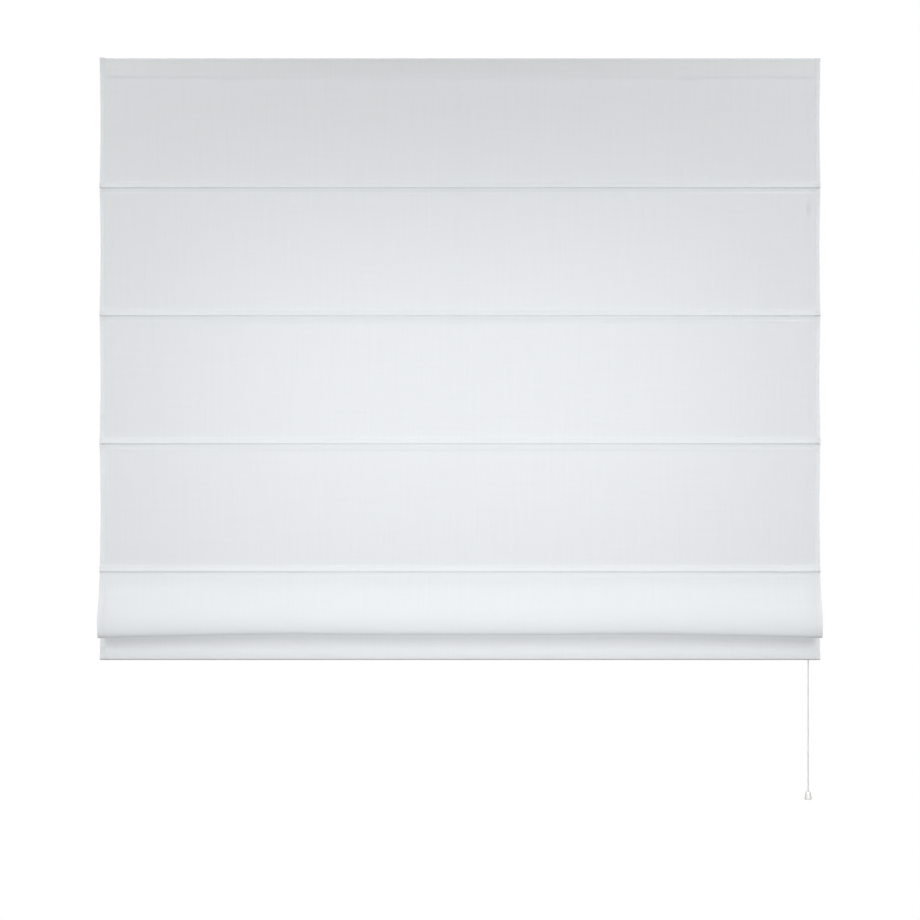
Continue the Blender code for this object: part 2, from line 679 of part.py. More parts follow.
def flap():
    """The cloth below the last rod, with a pocket for it and a hem round the weight rod."""
    top = ROD_ZS[-1] + POCKET_HALF + GAP
    hem_r = WEIGHT_R + GAP + CLOTH
    weight = (SHEET_FRONT_Y + hem_r, HEM_BOTTOM + hem_r)
    hem_rise = 2.2 * hem_r
    hem = arc(weight, hem_r, -180, tangent_angle(weight[0], hem_r, hem_rise, SHEET_BACK_Y), 10)
    outline = [(SHEET_FRONT_Y, top), *hem, (SHEET_BACK_Y, weight[1] + hem_rise)]
    outline += [*rod_pocket(ROD_ZS[-1]), (SHEET_BACK_Y, top)]
    cloth("flap", [outline, circle((ROD_Y, ROD_ZS[-1]), POCKET_R), circle(weight, WEIGHT_R + GAP)])
    cylinder("weight_rod", (0, *weight), WEIGHT_R, BLIND_WIDTH - 2 * ROD_SHORTER, "X", STEEL, sides=12)


flat_panels()
gathered_fold()
flap()

# ---- rods, rings, lift cords and the pull ----

for i, rod_z in enumerate(ROD_ZS):
    rod_length = BLIND_WIDTH - 2 * ROD_SHORTER
    cylinder(f"rod_{i + 1}", (0, ROD_Y, rod_z), ROD_R, rod_length, "X", FIBREGLASS, sides=10)
    for place, x in CORD_XS.items():
        ring(f"ring_{i + 1}_{place}", (x, CORD_Y, rod_z), CLEAR_PLASTIC)

RUN_YS = {"left": RAIL_FRONT_Y + 16.8 * MM, "centre": RAIL_FRONT_Y + 14.8 * MM, "right": CORD_Y}
LOCK_YS = {"left": PULL_Y + CORD_PITCH, "centre": PULL_Y, "right": PULL_Y - CORD_PITCH}


def lift_cord(place, x):
    """From its knot on the last ring, up through the rings, over its pulley and down out of the lock."""
    inner = RING_R - RING_WIRE_R - GAP - LIFT_CORD_R
    knot_z = ROD_ZS[-1]
    route = [
        (x, CORD_Y + inner, knot_z - 1.5 * MM),
        (x, CORD_Y + inner, knot_z + 1.5 * MM),
        (x, CORD_Y + inner * 0.5, knot_z + 5 * MM),
        (x, CORD_Y, knot_z + 9 * MM),
        (x, CORD_Y, -RAIL_HALF_HEIGHT),
    ]
    over = arc((x + CORD_ROUND_R, PULLEY_Z), CORD_ROUND_R, 180, 90, 5)
    route += [(px, CORD_Y, pz) for px, pz in over]
    run_y, lock_y = RUN_YS[place], LOCK_YS[place]
    last_guide_end = CORD_SPREAD + CORD_ROUND_R + PULLEY_RIM_R + GUIDE_PAST_RIM
    if x < CORD_SPREAD:
        route += [(x + 0.03, CORD_Y, RUN_Z), (x + 0.10, run_y, RUN_Z), (last_guide_end, run_y, RUN_Z)]
    else:
        route += [(last_guide_end, run_y, RUN_Z)]
    route += [(LOCK_LEFT - 4 * MM, lock_y, RUN_Z)]
    route += [(px, lock_y, pz) for px, pz in arc((BAR_X, BAR_Z), LOCK_ROUND_R, 90, 0, 5)]
    route += [(PULL_X, lock_y, CONNECTOR_TOP + GAP)]
    tube("lift_cord_" + place, route, LIFT_CORD_R, BRAID)


for place, x in CORD_XS.items():
    lift_cord(place, x)

turned(
    "cord_connector",
    [
        (0, 0), (CONNECTOR_R * 0.8, 0), (CONNECTOR_R, -1.5 * MM), (CONNECTOR_R, -10 * MM),
        (CONNECTOR_R * 0.9, -10.6 * MM), (CONNECTOR_R, -11.2 * MM), (CONNECTOR_R * 0.95, -17 * MM),
        (CONNECTOR_R * 0.5, -CONNECTOR_LENGTH), (0, -CONNECTOR_LENGTH),
    ],
    (PULL_X, PULL_Y, CONNECTOR_TOP),
    "Z",
    CLEAR_PLASTIC,
)  # fmt: skip

PULL_CORD_TOP = CONNECTOR_TOP - CONNECTOR_LENGTH - GAP
PULL_CORD_ENDS = 24
pull_drop = CONE_TOP + GAP - PULL_CORD_TOP
tube(
    "pull_cord",
    [(PULL_X, PULL_Y, PULL_CORD_TOP + pull_drop * i / PULL_CORD_ENDS) for i in range(PULL_CORD_ENDS + 1)],
    PULL_CORD_R,
    BRAID,
)
turned(
    "pull_cone",
    [
        (0, 0), (CONE_TOP_R * 0.8, 0), (CONE_TOP_R, -1 * MM), (CONE_BASE_R, -CONE_HEIGHT + 1.5 * MM),
        (CONE_BASE_R - 1 * MM, -CONE_HEIGHT), (0, -CONE_HEIGHT),
    ],
    (PULL_X, PULL_Y, CONE_TOP),
    "Z",
    NYLON,
)  # fmt: skip
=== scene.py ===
"""The looks of a sheer white Roman blind, hung from its rail with the lowest fold gathered up."""

import json
import math

import bmesh
import bpy
from mathutils import Matrix, Vector, noise

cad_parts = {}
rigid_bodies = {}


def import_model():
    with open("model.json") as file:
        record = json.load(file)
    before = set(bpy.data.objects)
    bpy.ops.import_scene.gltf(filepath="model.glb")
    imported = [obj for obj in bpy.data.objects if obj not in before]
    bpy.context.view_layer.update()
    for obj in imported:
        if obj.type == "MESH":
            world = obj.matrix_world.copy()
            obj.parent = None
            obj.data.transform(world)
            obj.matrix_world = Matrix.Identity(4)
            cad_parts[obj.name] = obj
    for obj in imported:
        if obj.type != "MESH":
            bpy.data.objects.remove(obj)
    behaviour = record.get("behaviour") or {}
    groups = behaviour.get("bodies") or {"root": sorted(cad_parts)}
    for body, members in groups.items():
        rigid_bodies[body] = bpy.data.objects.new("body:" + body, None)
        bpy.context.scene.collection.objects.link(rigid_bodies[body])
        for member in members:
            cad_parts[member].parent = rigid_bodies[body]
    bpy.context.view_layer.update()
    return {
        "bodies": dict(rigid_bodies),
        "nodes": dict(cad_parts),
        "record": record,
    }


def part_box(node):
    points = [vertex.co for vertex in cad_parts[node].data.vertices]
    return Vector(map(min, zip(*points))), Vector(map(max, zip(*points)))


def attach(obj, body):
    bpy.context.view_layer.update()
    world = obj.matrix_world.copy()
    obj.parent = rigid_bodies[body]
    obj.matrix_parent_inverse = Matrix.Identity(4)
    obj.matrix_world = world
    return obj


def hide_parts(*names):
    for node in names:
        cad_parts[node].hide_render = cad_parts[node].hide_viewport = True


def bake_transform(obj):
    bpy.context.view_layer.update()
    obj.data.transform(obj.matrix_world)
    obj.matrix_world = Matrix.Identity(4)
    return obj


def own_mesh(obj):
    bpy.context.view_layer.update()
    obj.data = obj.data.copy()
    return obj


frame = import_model()
MM = 0.001
SIDES = ("left", "centre", "right")

# ---- camera ----
# It stands level and square to the blind, three metres off, and takes in the cone pull below the hem.

header_low, header_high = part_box("panel_1_upper")
BLIND_HALF = header_high.x
CLOTH_TOP = header_high.z
SHEET_Y = (header_low.y + header_high.y) / 2
CAMERA_BACK = 3.0
VIEW_ACROSS = 1.6611  # at the cloth
VIEW_CENTRE_BELOW_TOP = 0.7253

camera = bpy.data.objects.new("camera", bpy.data.cameras.new("camera"))
bpy.context.scene.collection.objects.link(camera)
camera.location = (0, SHEET_Y - CAMERA_BACK, CLOTH_TOP - VIEW_CENTRE_BELOW_TOP)
camera.rotation_euler = (math.pi / 2, 0, 0)
camera.data.lens = camera.data.sensor_width * CAMERA_BACK / VIEW_ACROSS
bpy.context.scene.camera = camera

# ---- pull cord ----
# One 2 mm braided polyester cord hangs straight down from the connector that gathers the three lift cords,
# and ends in a knot inside the cone pull.


def node(tree, kind, **settings):
    """A shader node, with its sockets and its own settings given by name."""
    made = tree.nodes.new("ShaderNode" + kind)
    for name, value in settings.items():
        socket = made.inputs.get(name.replace("_", " "))
        if socket:
            socket.default_value = value
        else:
            setattr(made, name, value)
    return made


def material(name, colour, roughness, **settings):
    """A material with its node tree and its Principled node."""
    made = bpy.data.materials.new(name)
    made.use_nodes = True
    shader = made.node_tree.nodes["Principled BSDF"]
    shader.inputs["Base Color"].default_value = (*colour, 1)
    shader.inputs["Roughness"].default_value = roughness
    for socket, value in settings.items():
        shader.inputs[socket.replace("_", " ")].default_value = value
    return made, made.node_tree, shader


def on_object(tree, scale=(1, 1, 1), turn=(0, 0, 0)):
    """Object coordinates, in metres, scaled and turned."""
    place = node(tree, "Mapping", Scale=scale, Rotation=turn)
    tree.links.new(node(tree, "TexCoord").outputs["Object"], place.inputs["Vector"])
    return place.outputs["Vector"]


def grain(tree, cycles, detail=3.0):
    """Noise with its own number of cycles a metre along X, Y and Z."""
    pattern = node(tree, "TexNoise", Scale=1.0, Detail=detail, Roughness=0.55)
    tree.links.new(on_object(tree, cycles), pattern.inputs["Vector"])
    return pattern.outputs["Fac"]


def threads(tree, pitch, direction, turn=(0, 0, 0)):
    """Bands that repeat every pitch metres along X, Y or Z."""
    pattern = node(tree, "TexWave", Scale=math.tau / 20 / pitch, bands_direction=direction)
    tree.links.new(on_object(tree, turn=turn), pattern.inputs["Vector"])
    return pattern.outputs["Fac"]


def maths(tree, operation, *values):
    """A sum, product or other step on sockets and plain numbers."""
    made = node(tree, "Math", operation=operation)
    for socket, value in zip(made.inputs, values):
        if isinstance(value, (int, float)):
            socket.default_value = value
        else:
            tree.links.new(value, socket)
    return made.outputs[0]


def between(tree, factor, low, high):
    """A number that runs from low to high as a noise of 0.3 to 0.7 does."""
    made = node(tree, "MapRange", From_Min=0.3, From_Max=0.7, To_Min=low, To_Max=high)
    tree.links.new(factor, made.inputs["Value"])
    return made.outputs["Result"]


def tint(tree, shader, factor, low, high):
    """A base colour that runs from low to high with the factor."""
    ramp = node(tree, "ValToRGB")
    ramp.color_ramp.elements[0].position = 0.3
    ramp.color_ramp.elements[1].position = 0.7
    ramp.color_ramp.elements[0].color = (*low, 1)
    ramp.color_ramp.elements[1].color = (*high, 1)
    tree.links.new(factor, ramp.inputs["Fac"])
    tree.links.new(ramp.outputs["Color"], shader.inputs["Base Color"])


def relief(tree, shader, height, depth):
    """Bump whose height map spans depth metres."""
    bump = node(tree, "Bump", Distance=depth)
    tree.links.new(height, bump.inputs["Height"])
    tree.links.new(bump.outputs["Normal"], shader.inputs["Normal"])
    return bump.outputs["Normal"]


BRAID_PITCH = 0.9 * MM


def braid_material():
    """White polyester braid, a little greyed: two sets of strands that cross at a slant, with painted shade
    between them.
    """
    made, tree, shader = material("white_braid", (0.66, 0.66, 0.65), 0.8, Sheen_Weight=0.1)
    slant = math.radians(35)
    weave = maths(
        tree,
        "MAXIMUM",
        threads(tree, BRAID_PITCH, "Z", (slant, slant, 0)),
        threads(tree, BRAID_PITCH, "Z", (-slant, -slant, 0)),
    )
    height = maths(tree, "ADD", weave, maths(tree, "MULTIPLY", grain(tree, (2500, 2500, 2500)), 0.5))
    # Painted shade: the colour runs from light on the strands to dark in the grooves between them.
    tint(tree, shader, weave, (0.50, 0.50, 0.49), (0.72, 0.72, 0.71))
    relief(tree, shader, height, 0.15 * MM)
    return made


BRAID = braid_material()


def piece(name, mesh, finish, body=None, replaces=(), sharp=40):
    """A mesh, or a bmesh, as an object with its finish, riding on its body in place of its CAD nodes."""
    if isinstance(mesh, bmesh.types.BMesh):
        shape = mesh
        mesh = bpy.data.meshes.new(name)
        shape.to_mesh(mesh)
        shape.free()
    obj = bpy.data.objects.new(name, mesh)
    bpy.context.scene.collection.objects.link(obj)
    mesh.materials.append(finish)
    mesh.shade_smooth()
    mesh.set_sharp_from_angle(angle=math.radians(sharp))
    if body:
        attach(obj, body)
    if replaces:
        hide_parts(*replaces)
    return obj


def line_curve(name, points, radius, resolution=3):
    """A curve object: one open line of points with a round section and closed ends."""
    curve = bpy.data.curves.new(name, "CURVE")
    curve.dimensions = "3D"
    curve.bevel_depth = radius
    curve.bevel_resolution = resolution
    curve.use_fill_caps = True
    line = curve.splines.new("POLY")
    line.points.add(len(points) - 1)
    for point, place in zip(line.points, points):
        point.co = (*place, 1)
        point.radius = 1
    line.use_smooth = True
    obj = bpy.data.objects.new(name, curve)
    bpy.context.scene.collection.objects.link(obj)
    return obj


connector_low, connector_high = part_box("cord_connector")
cone_low, cone_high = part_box("pull_cone")
PULL_X = (connector_low.x + connector_high.x) / 2
PULL_Y = (connector_low.y + connector_high.y) / 2
PULL_CORD_R = 1 * MM
PULL_CORD_POINTS = 25
pull_top, pull_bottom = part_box("pull_cord")[1].z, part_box("pull_cord")[0].z
PULL_CORD_LENGTH = pull_top - pull_bottom

pull_cord = line_curve(
    "braided_pull_cord",
    [
        (PULL_X, PULL_Y, pull_top - PULL_CORD_LENGTH * step / (PULL_CORD_POINTS - 1))
        for step in range(PULL_CORD_POINTS)
    ],
    PULL_CORD_R,
)
pull_cord.data.materials.append(BRAID)
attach(pull_cord, "pull")
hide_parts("pull_cord")

# ---- connector and cone pull ----
# Both are turned-looking mouldings. The clear connector swallows the three knots, and the white cone is what
# the hand takes, with a hollow below for the pull cord's own knot.


def sweep_round(shape, geom, steps):
    """Spins edges right round the Z axis."""
    bmesh.ops.spin(
        shape,
        geom=geom,
        cent=(0, 0, 0),
        axis=(0, 0, 1),
        angle=math.tau,
        steps=steps,
        use_merge=True,
    )


def set_down(shape, centre, axis):
    """Turns a shape made along Z onto its axis, moves it to its centre and faces it outwards."""
    bmesh.ops.recalc_face_normals(shape, faces=shape.faces)
    turn = {"X": Matrix.Rotation(math.pi / 2, 4, "Y"), "Y": Matrix.Rotation(-math.pi / 2, 4, "X")}
    place = Matrix.Translation(centre) @ turn.get(axis, Matrix())
    bmesh.ops.transform(shape, matrix=place, verts=shape.verts)
    return shape


def spun(profile, centre, steps=48, axis="Z"):
    """A closed turned shape from (radius, along) points whose first and last lie on the axis."""
    shape = bmesh.new()
    verts = [shape.verts.new((radius, 0, along)) for radius, along in profile]
    edges = [shape.edges.new(pair) for pair in zip(verts, verts[1:])]
    sweep_round(shape, verts + edges, steps)
    bmesh.ops.remove_doubles(shape, verts=shape.verts, dist=0.002 * MM)
    return set_down(shape, centre, axis)


def rounded(corners, radius, steps=4):
    """The corners of a (radius, along) profile, each rounded by an arc that stays within its two sides."""
    line = [Vector(corners[0])]
    for before, corner, after in zip(corners, corners[1:], corners[2:]):
        before, corner, after = Vector(before), Vector(corner), Vector(after)
        reach = min(radius, (before - corner).length * 0.45, (after - corner).length * 0.45)
        start = corner + (before - corner).normalized() * reach
        end = corner + (after - corner).normalized() * reach
        for step in range(steps + 1):
            t = step / steps
            line.append(start * (1 - t) ** 2 + corner * (2 * t * (1 - t)) + end * t**2)
    return [tuple(point) for point in line + [Vector(corners[-1])]]


def moulded(name, colour, roughness, **settings):
    """Moulded plastic: faint flow marks, and a skin that is a little uneven in gloss."""
    made, tree, shader = material(name, colour, roughness, **settings)
    flow = grain(tree, (60, 60, 400))
    gloss = between(tree, grain(tree, (300, 300, 300)), roughness * 0.8, roughness * 1.2)
    tree.links.new(gloss, shader.inputs["Roughness"])
    tint(tree, shader, flow, tuple(share * 0.96 for share in colour), colour)
    relief(tree, shader, grain(tree, (1800, 1800, 1800)), 0.02 * MM)
    return made


NYLON = moulded("white_nylon", (0.84, 0.84, 0.82), 0.42)
CLEAR = moulded("clear_plastic", (0.86, 0.88, 0.88), 0.14, Transmission_Weight=0.75, IOR=1.58)

connector_r = (connector_high.x - connector_low.x) / 2
connector_length = connector_high.z - connector_low.z
WALL = 0.9 * MM
connector_profile = rounded(
    [
        (0, -1.6 * MM),
        (connector_r * 0.55, -1.6 * MM),
        (connector_r * 0.55, 0),
        (connector_r, -0.4 * MM),
        (connector_r, -10.2 * MM),
        (connector_r * 0.88, -10.6 * MM),
        (connector_r * 0.88, -11.2 * MM),
        (connector_r, -11.6 * MM),
        (connector_r * 0.96, -17 * MM),
        (connector_r * 0.5, -connector_length),
        (0, -connector_length),
    ],
    0.5 * MM,
)
connector = piece(
    "cord_connector_cover",
    spun(connector_profile, (PULL_X, PULL_Y, connector_high.z)),
    CLEAR,
    "pull",
    ["cord_connector"],
)

cone_r = (cone_high.x - cone_low.x) / 2
cone_height = cone_high.z - cone_low.z
CONE_TOP_R = 4 * MM
CONE_HOLLOW = 6 * MM
cone_profile = rounded(
    [
        (0, -1.2 * MM),
        (PULL_CORD_R + 0.4 * MM, -1.2 * MM),
        (PULL_CORD_R + 0.4 * MM, -0.1 * MM),
        (CONE_TOP_R * 0.8, 0),
        (CONE_TOP_R, -1 * MM),
        (cone_r, -cone_height + 1.5 * MM),
        (cone_r - 0.5 * MM, -cone_height),
        (cone_r - WALL - 0.5 * MM, -cone_height),
        (cone_r - WALL - 1.2 * MM, -cone_height + CONE_HOLLOW),
        (0, -cone_height + CONE_HOLLOW),
    ],
    0.6 * MM,
)
cone = piece(
    "cone_pull",
    spun(cone_profile, (PULL_X, PULL_Y, cone_high.z)),
    NYLON,
    "pull",
    ["pull_cone"],
)

# ---- lift cords ----
# Three 1.2 mm braided polyester cords run from knots on the lowest rings up through every ring, over the
# guide pulleys and along the rail, bend down over the bar of the cord lock and end in the connector.


def tube(points, radius, sides=8, loop=False):
    """A bmesh tube along the points, with closed ends, or joined end to end."""
    line = line_curve("route", points, radius, sides // 4)
    line.data.splines[0].use_cyclic_u = loop
    bpy.context.view_layer.update()
    graph = bpy.context.evaluated_depsgraph_get()
    mesh = bpy.data.meshes.new_from_object(line.evaluated_get(graph))
    shape = bmesh.new()
    shape.from_mesh(mesh)
    bmesh.ops.remove_doubles(shape, verts=shape.verts, dist=0.005 * MM)
    bmesh.ops.recalc_face_normals(shape, faces=shape.faces)
    bpy.data.meshes.remove(mesh)
    bpy.data.curves.remove(line.data)
    return shape


def absorb(shape, other):
    """Adds the other bmesh to the first, and frees it."""
    mesh = bpy.data.meshes.new("part")
    other.to_mesh(mesh)
    other.free()
    shape.from_mesh(mesh)
    bpy.data.meshes.remove(mesh)


def centre_of(name):
    low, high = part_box(name)
    return (low + high) / 2


def smooth_line(points, steps=6):
    """Catmull-Rom points through a route, so that a cord turns softly."""
    points = [Vector(point) for point in points]
    padded = [points[0], *points, points[-1]]
    line = [points[0]]
    for a, b, c, d in zip(padded, padded[1:], padded[2:], padded[3:]):
        for step in range(1, steps + 1):
            t = step / steps
            line.append(
                b * (1 - 2.5 * t**2 + 1.5 * t**3)
                + c * (0.5 * t + 2 * t**2 - 1.5 * t**3)
                + a * (-0.5 * t + t**2 - 0.5 * t**3)
                + d * (-0.5 * t**2 + 0.5 * t**3)
            )
    return line


ROD_ZS = [centre_of(f"rod_{level}").z for level in range(1, 6)]
CORD_XS = {side: centre_of(f"ring_1_{side}").x for side in SIDES}
CORD_Y = centre_of("ring_1_left").y
RAIL_FRONT_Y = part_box("headrail")[0].y
RAIL_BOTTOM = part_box("headrail")[0].z
LIFT_CORD_R = 0.6 * MM
PULLEY_ROUND_R = 4.9 * MM  # from the pulley's centre to the cord's
RUN_YS = {"left": RAIL_FRONT_Y + 16.8 * MM, "centre": RAIL_FRONT_Y + 14.8 * MM, "right": CORD_Y}
LOCK_YS = {"left": PULL_Y + 1.8 * MM, "centre": PULL_Y, "right": PULL_Y - 1.8 * MM}
LOCK_BAR_R = 3.9 * MM  # from the bar's centre to the cord's
LOCK_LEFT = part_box("cord_lock")[0].x
KNOT_BEHIND_RING = 3.6 * MM
SPARE_BEHIND_RING = 1.3 * MM  # clear of the stretch it lies beside
STRETCH_TOP = RAIL_BOTTOM - 2 * MM
STRETCH_ROWS = 12
LEAD_STEPS = 40
QUARTER_STEPS = 5  # of a cord's bend
RING_SPACING = ROD_ZS[0] - ROD_ZS[1]


def knot(centre, size):
    """A trefoil of cord, pulled tight."""
    steps = [math.tau * step / 36 for step in range(36)]
    turns = [
        Vector(
            (
                math.sin(t) + 2 * math.sin(2 * t),
                math.cos(t) - 2 * math.cos(2 * t),
                -1.6 * math.sin(3 * t),
            )
        )
        for t in steps
    ]
    return tube([Vector(centre) + turn * size for turn in turns], LIFT_CORD_R, loop=True)


for side, x in CORD_XS.items():
    pulley = centre_of("guide_pulley_" + side)
    run_z = pulley.z + PULLEY_ROUND_R
    last_guide_end = CORD_XS["right"] + PULLEY_ROUND_R + 8.4 * MM
    route = [(x, CORD_Y, STRETCH_TOP), (x, CORD_Y, pulley.z)]
    for turn in range(1, QUARTER_STEPS + 1):
        angle = math.pi - math.pi / 2 * turn / QUARTER_STEPS
        across = PULLEY_ROUND_R * math.cos(angle)
        route.append((pulley.x + across, CORD_Y, pulley.z + PULLEY_ROUND_R * math.sin(angle)))
    if side != "right":
        route += [(x + 0.03, CORD_Y, run_z), (x + 0.10, RUN_YS[side], run_z)]
    route += [(last_guide_end, RUN_YS[side], run_z), (LOCK_LEFT - 4 * MM, LOCK_YS[side], run_z)]
    for turn in range(QUARTER_STEPS + 1):
        angle = math.pi / 2 - math.pi / 2 * turn / QUARTER_STEPS
        centre_x, centre_z = PULL_X - LOCK_BAR_R, run_z - LOCK_BAR_R
        across, up = LOCK_BAR_R * math.cos(angle), LOCK_BAR_R * math.sin(angle)
        route.append((centre_x + across, LOCK_YS[side], centre_z + up))
    route.append((PULL_X, LOCK_YS[side], RAIL_BOTTOM))
    piece(
        f"lift_cord_{side}_in_rail",
        tube(route, LIFT_CORD_R),
        BRAID,
        "rail",
        [f"lift_cord_{side}"],
    )
    lead_end = Vector((PULL_X, PULL_Y + (LOCK_YS[side] - PULL_Y) * 0.7, connector_high.z - 1.5 * MM))
    lead_start = Vector((PULL_X, LOCK_YS[side], RAIL_BOTTOM))
    lead = piece(
        f"lift_cord_{side}_lead",
        tube([lead_start.lerp(lead_end, step / LEAD_STEPS) for step in range(LEAD_STEPS + 1)], LIFT_CORD_R),
        BRAID,
    )
    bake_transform(lead)

    for level in range(1, 5):
        above = "rail" if level == 1 else f"level_{level - 1}"
        top = STRETCH_TOP if level == 1 else ROD_ZS[level - 2]
        bottom = ROD_ZS[level - 1]
        heights = [top + (bottom - top) * row / STRETCH_ROWS for row in range(STRETCH_ROWS + 1)]
        stretch = piece(
            f"lift_cord_{side}_stretch_{level}",
            tube([(x, CORD_Y, height) for height in heights], LIFT_CORD_R),
            BRAID,
            above,
        )
        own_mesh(stretch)

    last = ROD_ZS[4]
    back_y = CORD_Y + KNOT_BEHIND_RING
    spare_route = [
        (x, back_y, last - 1.5 * MM),
        (x, back_y, last + 1.5 * MM),
        (x, CORD_Y + KNOT_BEHIND_RING / 2, last + 5 * MM),
        (x, CORD_Y + SPARE_BEHIND_RING, last + 9 * MM),
        (x, CORD_Y + SPARE_BEHIND_RING, last + 60 * MM),
        (x, CORD_Y + SPARE_BEHIND_RING, last + RING_SPACING),
    ]
    spare = piece(
        f"lift_cord_{side}_stretch_5",
        tube(smooth_line(spare_route), LIFT_CORD_R),
        BRAID,
        "level_5",
    )
    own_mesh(spare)
    piece(
        f"lift_cord_{side}_knot",
        knot((x, back_y, last - 3 * MM), 0.5 * MM),
        BRAID,
        "level_5",
    )

# ---- headrail, brackets and clips ----
# The rail is an aluminium extrusion under a white satin powder coat. Zinc plated angle brackets screw to the
# wall above it, and a sprung clip on each turns a quarter to grip the rail's slot.


def powder_coat():
    """White satin powder coat: orange peel, and hair scratches along the rail."""
    made, tree, shader = material("white_powder_coat", (0.86, 0.86, 0.85), 0.38)
    scratch = grain(tree, (6, 900, 900))
    tree.links.new(between(tree, scratch, 0.30, 0.46), shader.inputs["Roughness"])
    tint(tree, shader, scratch, (0.83, 0.83, 0.82), (0.87, 0.87, 0.86))
    relief(tree, shader, grain(tree, (700, 700, 700)), 0.03 * MM)
    return made


def zinc_plate():
    """Zinc plated steel: a brushed grain with dull patches."""
    made, tree, shader = material("zinc_plate", (0.62, 0.63, 0.65), 0.35, Metallic=1.0)
    patch = grain(tree, (90, 90, 90))
    brushed = grain(tree, (40, 1500, 1500))
    tree.links.new(between(tree, patch, 0.26, 0.48), shader.inputs["Roughness"])
    dull, bright = maths(tree, "MULTIPLY", patch, 0.6), maths(tree, "MULTIPLY", brushed, 0.4)
    tint(tree, shader, maths(tree, "ADD", dull, bright), (0.50, 0.51, 0.53), (0.68, 0.69, 0.71))
    relief(tree, shader, brushed, 0.02 * MM)
    return made


def finish_node(name, finish):
    """Gives a CAD node its real finish."""
    mesh = frame["nodes"][name].data
    mesh.materials.clear()
    mesh.materials.append(finish)


POWDER_COAT = powder_coat()
ZINC = zinc_plate()
finish_node("headrail", POWDER_COAT)
for side in SIDES:
    finish_node("bracket_" + side, ZINC)
for name in sorted(frame["bodies"]):
    if name.startswith("clip_"):
        for node_name in frame["record"]["behaviour"]["bodies"][name]:
            finish_node(node_name, ZINC)

# ---- hook and loop tape ----
# The hook tape is glued along the rail's face, and its loop half is sewn behind the head of the cloth, so
# the blind peels off for washing. Both are an off-white made darker still by painted shade for the shaded
# head of the blind, and painted shade darkens the pits between the hooks and loops.


def touch_tape(name, pitch, depth):
    """Woven off-white tape under a field of hooks or loops, made darker overall and in its pits as painted
    shade.
    """
    made, tree, shader = material(name, (0.74, 0.725, 0.70), 0.9, Sheen_Weight=0.2)
    pile = node(tree, "TexVoronoi", Scale=1 / pitch, Randomness=0.6)
    tree.links.new(on_object(tree), pile.inputs["Vector"])
    height = maths(tree, "SUBTRACT", 1.0, pile.outputs["Distance"])
    # Painted shade: the pits between hooks or loops are darker, and the whole tape is darker for the shaded
    # head.
    tint(tree, shader, height, (0.52, 0.505, 0.48), (0.70, 0.685, 0.66))
    relief(tree, shader, height, depth)
    return made


finish_node("hook_tape", touch_tape("hook_tape_pile", 1.3 * MM, 0.5 * MM))
finish_node("loop_tape", touch_tape("loop_tape_pile", 0.7 * MM, 0.3 * MM))

# ---- end caps, cord guides, pulleys and cord lock ----
# White moulded nylon throughout. The guides snap into the rail's slot and hold a free pulley on a stub, and
# the lock's ribbed roller falls against the bar and pinches the cords.

for name in ("end_cap_left", "end_cap_right", "cord_lock", *("cord_guide_" + side for side in SIDES)):
    finish_node(name, NYLON)


def turned_ring(profile, centre, steps=48, axis="Z"):
    """A turned shape with a bore, from a loop of (radius, along) points that stays off the axis."""
    shape = bmesh.new()
    verts = [shape.verts.new((radius, 0, along)) for radius, along in profile]
    edges = [shape.edges.new(pair) for pair in zip(verts, verts[1:] + verts[:1])]
    sweep_round(shape, verts + edges, steps)
    return set_down(shape, centre, axis)


PULLEY_BORE_R = 1.8 * MM
PULLEY_GROOVE_R = 4 * MM
for side in SIDES:
    low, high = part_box("guide_pulley_" + side)
    half_width = (high.y - low.y) / 2
    rim_r = (high.z - low.z) / 2
    pulley_profile = [(PULLEY_BORE_R, half_width - 0.2 * MM), (PULLEY_BORE_R + 0.2 * MM, half_width)]
    pulley_profile += [(rim_r - 0.3 * MM, half_width), (rim_r, half_width - 0.25 * MM)]
    for step in range(9):
        angle = math.pi * step / 8
        reach = (half_width - 0.5 * MM) * math.cos(angle)
        pulley_profile.append((rim_r - (rim_r - PULLEY_GROOVE_R) * math.sin(angle), reach))
    pulley_profile += [(rim_r, -half_width + 0.25 * MM), (rim_r - 0.3 * MM, -half_width)]
    pulley_profile += [(PULLEY_BORE_R + 0.2 * MM, -half_width), (PULLEY_BORE_R, -half_width + 0.2 * MM)]
    piece(
        "cord_pulley_" + side,
        turned_ring(pulley_profile, (low + high) / 2, axis="Y"),
        NYLON,
        "pulley_" + side,
        ["guide_pulley_" + side],
    )

low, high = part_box("lock_roller")
roller_r = (high.z - low.z) / 2
roller_half = (high.y - low.y) / 2
roller_corners = [(0, roller_half), (roller_r, roller_half), (roller_r, -roller_half), (0, -roller_half)]
roller = spun(rounded(roller_corners, 0.3 * MM), (0, 0, 0))
for vert in roller.verts:
    rib = round(math.atan2(vert.co.y, vert.co.x) / math.tau * 48) % 2
    if rib and abs(vert.co.z) < roller_half - 0.5 * MM:
        vert.co.xy *= 0.9
roller_place = Matrix.Translation((low + high) / 2) @ Matrix.Rotation(math.pi / 2, 4, "X")
bmesh.ops.transform(roller, matrix=roller_place, verts=roller.verts)
piece("ribbed_roller", roller, NYLON, "lock_roller", ["lock_roller"])

# ---- rods and weight rod ----
# Five pultruded fibreglass rods lie in pockets behind the seams and keep each fold straight, and a steel rod
# in the bottom hem keeps the cloth taut.


def rod_material():
    """Off-white glass fibre and resin, with the fibres showing along it."""
    made, tree, shader = material("pultruded_fibreglass", (0.82, 0.83, 0.80), 0.45)
    fibre = grain(tree, (5, 2500, 2500), detail=2.0)
    tint(tree, shader, fibre, (0.74, 0.75, 0.71), (0.85, 0.86, 0.83))
    relief(tree, shader, fibre, 0.04 * MM)
    return made


def rod(name, node_name, finish, body):
    low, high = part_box(node_name)
    radius, half = (high.z - low.z) / 2, (high.x - low.x) / 2
    ends = rounded([(0, half), (radius, half), (radius, -half), (0, -half)], 0.4 * MM)
    return piece(name, spun(ends, (low + high) / 2, steps=24, axis="X"), finish, body, [node_name])


